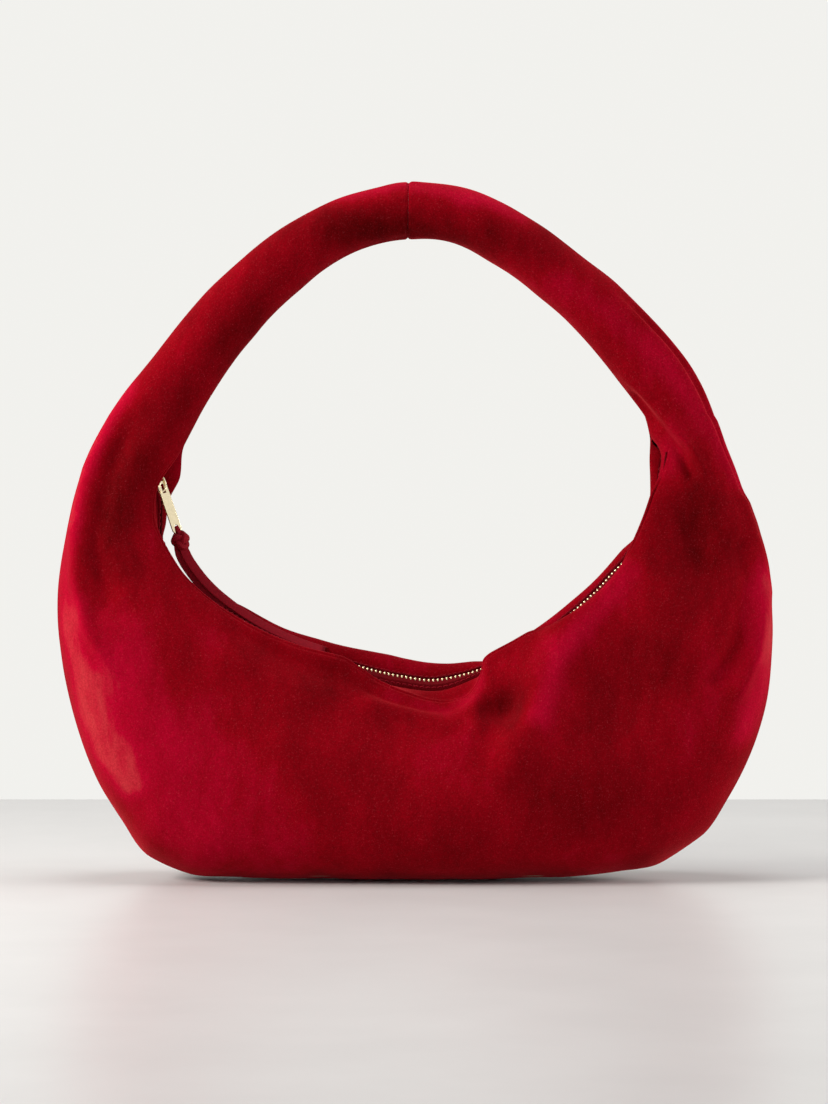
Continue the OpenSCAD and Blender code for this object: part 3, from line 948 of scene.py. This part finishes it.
def teeth(gold):
    """Both rows of teeth, at the CAD's pitch. The front row stands a little inside the back one."""
    step = math.degrees(PITCH * MM / ZIP_R)
    bm = bmesh.new()
    bmesh.ops.create_cube(bm, size=1)
    bmesh.ops.scale(bm, vec=[k * MM for k in TOOTH], verts=bm.verts)
    bmesh.ops.bevel(bm, geom=bm.edges[:], offset=0.38 * MM, segments=2, affect="EDGES", profile=0.5)
    bm.verts.ensure_lookup_table()
    shape = np.array([v.co for v in bm.verts])
    faces = [[v.index for v in f.verts] for f in bm.faces]
    bm.free()
    for side, name in SIDES:
        first = FIRST_TOOTH + (0 if side == FRONT else step / 2)
        points, sides = [], []
        for i in range(TEETH):
            a = np.array(first + i * step)
            centre = ring_xyz(a, zip_r(a, side * 2.1) + SINK[side], side * 2.1)
            turn = np.array(Matrix.Rotation(-math.radians(float(a)), 3, "Y"))
            sides += [[v + len(points) * len(shape) for v in f] for f in faces]
            points.append(shape @ turn.T + centre)
        obj = mesh_object(f"zip_teeth_{name}", np.concatenate(points), sides)
        finish_piece(obj, gold, "zip_metal", f"{name}_teeth")
        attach(obj, f"{name}_lip")


def frame_at(origin, angle):
    """A local frame at a ring angle: X away from the ring's centre, Z along the ring."""
    return Matrix.Translation(origin) @ Matrix.Rotation(-math.radians(angle), 4, "Y")


def plate(name, outline, thick, bevel, holes=()):
    """A flat plate in the local YZ plane, with rounded edges, from outlines of (y, z) in mm."""
    data = bpy.data.curves.new(name, "CURVE")
    data.dimensions, data.fill_mode = "2D", "BOTH"
    data.extrude, data.bevel_depth, data.bevel_resolution = (thick / 2 - bevel) * MM, bevel * MM, 2
    for loop in (outline, *holes):
        spline = data.splines.new("POLY")
        spline.points.add(len(loop) - 1)
        for point, (y, z) in zip(spline.points, loop):
            point.co = (y * MM, z * MM, 0, 1)
        spline.use_cyclic_u = True
    temp = bpy.data.objects.new(name, data)
    bpy.context.scene.collection.objects.link(temp)
    bpy.context.view_layer.update()
    mesh = bpy.data.meshes.new_from_object(temp.evaluated_get(bpy.context.evaluated_depsgraph_get()))
    bpy.data.objects.remove(temp)
    mesh.transform(Matrix(((0, 0, 1, 0), (1, 0, 0, 0), (0, 1, 0, 0), (0, 0, 0, 1))))
    mesh.name = name
    obj = bpy.data.objects.new(name, mesh)
    bpy.context.scene.collection.objects.link(obj)
    bm = bmesh.new()
    bm.from_mesh(mesh)
    bmesh.ops.remove_doubles(bm, verts=bm.verts, dist=1e-6)
    bmesh.ops.recalc_face_normals(bm, faces=bm.faces)
    bm.to_mesh(mesh)
    bm.free()
    return obj


def round_bar(half, z0, z1):
    """The outline of a bar from z0 to z1 with round ends."""
    t = np.linspace(0, math.pi, 8)
    top = [(half * math.cos(k), z1 - half + half * math.sin(k)) for k in t]
    low = [(-half * math.cos(k), z0 + half - half * math.sin(k)) for k in t]
    return top + low


def slider(gold):
    """The slider: two plates with their flanges, the web between them and the arch."""
    px, _, pz = joints["tab_swing"]["pos_m"]
    place = frame_at((CX, 0, CZ), math.degrees(math.atan2(pz - CZ, px - CX)) % 360)
    middle = ZIP_R / MM

    waist = [(-3.6, -4.8), (3.6, -4.8), (4.7, -3.4), (4.4, 0.2), (3.5, 3.6), (2.6, 4.9), (-2.6, 4.9),
             (-3.5, 3.6), (-4.4, 0.2), (-4.7, -3.4)]
    parts = []
    for r in (middle - 2.4, middle + 2.4):
        part = plate("plate", waist, 1.3, 0.35)
        part.data.transform(place @ Matrix.Translation((r * MM, 0, 0)))
        parts.append(part)
    for sign in (-1, 1):
        path = [(0, sign * y, z) for y, z in ((4.15, -4.3), (4.3, -1.5), (3.6, 2.2), (2.7, 4.4))]
        for r in (middle - 1.55, middle + 1.55):
            rings = sweep(np.array(path) * MM + np.array((r * MM, 0, 0)),
                          np.tile((1, 0, 0), (4, 1)), strip(0.9, 0.8))
            part = tube("flange", rings)
            part.data.transform(place)
            parts.append(part)
    post = plate("post", round_bar(0.55, -4.6, -2.2), 3.6, 0.2)
    post.data.transform(place @ Matrix.Translation((middle * MM, 0, 0)))
    parts.append(post)
    body = joined("zip_slider", parts)
    finish_piece(body, gold, "slider_metal", "slider_body")
    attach(body, "slider")

    t = np.linspace(0, math.pi, 25)
    foot = middle - 2.8
    path = np.stack([foot - 3.9 * np.sin(t) ** 0.7, 0 * t, 4.9 * np.cos(t)], axis=-1) * MM
    bridge = tube("zip_bridge", sweep(path, np.tile((0, 1, 0), (25, 1)), strip(1.7, 1.0)))
    bridge.data.transform(place)
    finish_piece(bridge, gold, "slider_metal", "slider_bridge")
    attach(bridge, "slider")


def pull(gold, leather):
    """The tab hangs from the arch, its broad face turned forward, and the thong from the tab."""
    px, _, pz = joints["tab_swing"]["pos_m"]
    sx, _, sz = joints["strap_swing"]["pos_m"]
    down = (math.degrees(math.atan2(-(sx - px), sz - pz)) + TAB_DROP) % 360
    hang = frame_at((px, 0, pz), down)
    turned = hang @ Matrix.Rotation(math.radians(TAB_SPIN), 4, "Z")
    end = TAB_LENGTH
    slot = [(1.15, 0.4), (1.15, 6.2), (-1.15, 6.2), (-1.15, 0.4)]
    t = np.linspace(0, 2 * math.pi, 16, endpoint=False)
    hole = [(1.35 * math.cos(k), end - 3.2 + 1.35 * math.sin(k)) for k in t]
    outline = [(-2.5, -0.4), (-2.1, -0.8), (2.1, -0.8), (2.5, -0.4), (2.7, end - 1.4), (1.9, end),
               (-1.9, end), (-2.7, end - 1.4)]
    tab = plate("pull_tab_metal", outline, 1.25, 0.22, (slot, hole))
    tab.data.transform(turned)
    finish_piece(tab, gold, "slider_metal", "pull_tab")
    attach(tab, "pull_tab")

    # The thong: a loop through the tab's hole, a knot and two tails.
    knot_at = hang @ Vector((0, 0, (end + 4.9) * MM))
    u = np.linspace(0, math.pi, 13)
    loop = np.stack([2.0 * np.cos(u), 0 * u, end + 2.2 - 5.4 * np.sin(u) ** 0.8], axis=-1) * MM
    part = tube("loop", sweep(loop, np.tile((0, 1, 0), (13, 1)), strip(2.2, 1.0)))
    part.data.transform(turned)
    parts = [part]
    u = np.linspace(0, 2 * math.pi, 60, endpoint=False)
    knot = (np.sin(u) + 2 * np.sin(2 * u), -1.15 * np.sin(3 * u), np.cos(u) - 2 * np.cos(2 * u))
    knot = np.stack(knot, axis=-1) * (np.array((1.2, 1.5, 1.4)) * MM)
    outwards = knot.copy()
    outwards[:, 1] += 0.4 * MM
    across = np.cross(np.roll(knot, -1, 0) - np.roll(knot, 1, 0), outwards)
    part = ring_solid("turns", sweep(knot, across, strip(5.4, 3.0), closed=True))
    upright = Matrix.Rotation(math.radians(180 - down), 4, "Y")
    part.data.transform(Matrix.Translation(knot_at) @ upright)
    parts.append(part)
    bm = bmesh.new()
    bmesh.ops.create_icosphere(bm, subdivisions=3, radius=3.2 * MM)
    core = bpy.data.meshes.new("core")
    bm.to_mesh(core)
    bm.free()
    core.polygons.foreach_set("use_smooth", [True] * len(core.polygons))
    core.transform(Matrix.Translation(knot_at))
    parts.append(bpy.data.objects.new("core", core))
    tail_r = [(209, 144.5), (211, 146), (214, 146.9), (218, 147), (222, 146.6), (226, 145.6),
              (232, 144.2), (238, 142.9), (245, 141.4), (252, 140.2)]
    tail_y = [(209, 0), (214, 1.5), (222, 5), (230, 7.5), (240, 9), (252, 10)]
    for shift, drop, last in ((-0.6, 0.0, 251.0), (1.6, 3.4, 247.5)):
        a = np.linspace(209.0, last, 34)
        path = ring_xyz(a, curve(tail_r, a) + drop, curve(tail_y, a) + shift)
        radial = (ring_xyz(a, 1.0, 0) - np.array((CX, 0, CZ))) / MM
        lay = np.radians(curve([(209, 10), (220, 25), (235, 40), (252, 45)], a))[:, None]
        across = radial * np.cos(lay) - np.array((0, 1, 0)) * np.sin(lay)
        grow = smooth_step(208.5, 212, a) * 0.35 + 0.65
        parts.append(tube("tail", sweep(path, across, strip(5.4, 1.4, 16), scale=grow)))
    thong = joined("pull_strap_leather", parts)
    finish_piece(thong, leather, "strap_leather", "pull_strap")
    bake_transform(thong)


def build():
    """Everything: the stage, the materials and the pieces."""
    make_stage()
    # The suede's last colour is a painted sheen of lit nap; its stored map adds painted light and
    # painted shade.
    suede = suede_material("suede", (0.07, 0.0002, 0.0006), (0.25, 0.0003, 0.005),
                           (0.43, 0.0010, 0.021), (0.53, 0.036, 0.043), 0.5)
    # A darker copy of the suede: painted shade for the bindings, the rim welt and the end patches.
    shaded_suede = suede_material("suede_edge", (0.04, 0.0001, 0.0005), (0.10, 0.0003, 0.0025),
                          (0.17, 0.0007, 0.006), (0.24, 0.003, 0.009), 0.25, False)
    strap = plain_material("strap_leather", (0.3, 0.0015, 0.012), 0.7, grain_scale=900, gloss=0.15)
    tape = plain_material("zip_tape", (0.14, 0.0006, 0.004), 0.9, grain_scale=1500,
                          grain_depth=0.0002, gloss=0.1)
    lining = plain_material("lining", (0.16, 0.004, 0.008), 0.7, grain_scale=1200)
    gold = plain_material("zip_metal", (0.83, 0.68, 0.42), 0.2, 1.0, 600, 0.00002, 0.05)
    slider_gold = plain_material("slider_metal", (0.88, 0.76, 0.52), 0.16, 1.0, 600, 0.00002, 0.05)
    card = plain_material("board", (0.3, 0.22, 0.15), 0.85)
    wadding = plain_material("padding", (0.8, 0.78, 0.72), 0.95, grain_scale=300, grain_depth=0.001)
    body_skins(suede)
    handle_skins(suede)
    handle_wadding(wadding)
    linings(lining)
    rim_welt(shaded_suede)
    end_patches(shaded_suede)
    zip_tapes(tape, shaded_suede, strap)
    teeth(gold)
    slider(slider_gold)
    pull(slider_gold, strap)
    # These pieces keep the CAD's shape and only get a material.
    for node, material in (("base_board", card), ("bottom_stop", gold), ("front_top_stop", gold),
                           ("back_top_stop", gold)):
        frame["nodes"][node].data.materials.clear()
        frame["nodes"][node].data.materials.append(material)


build()
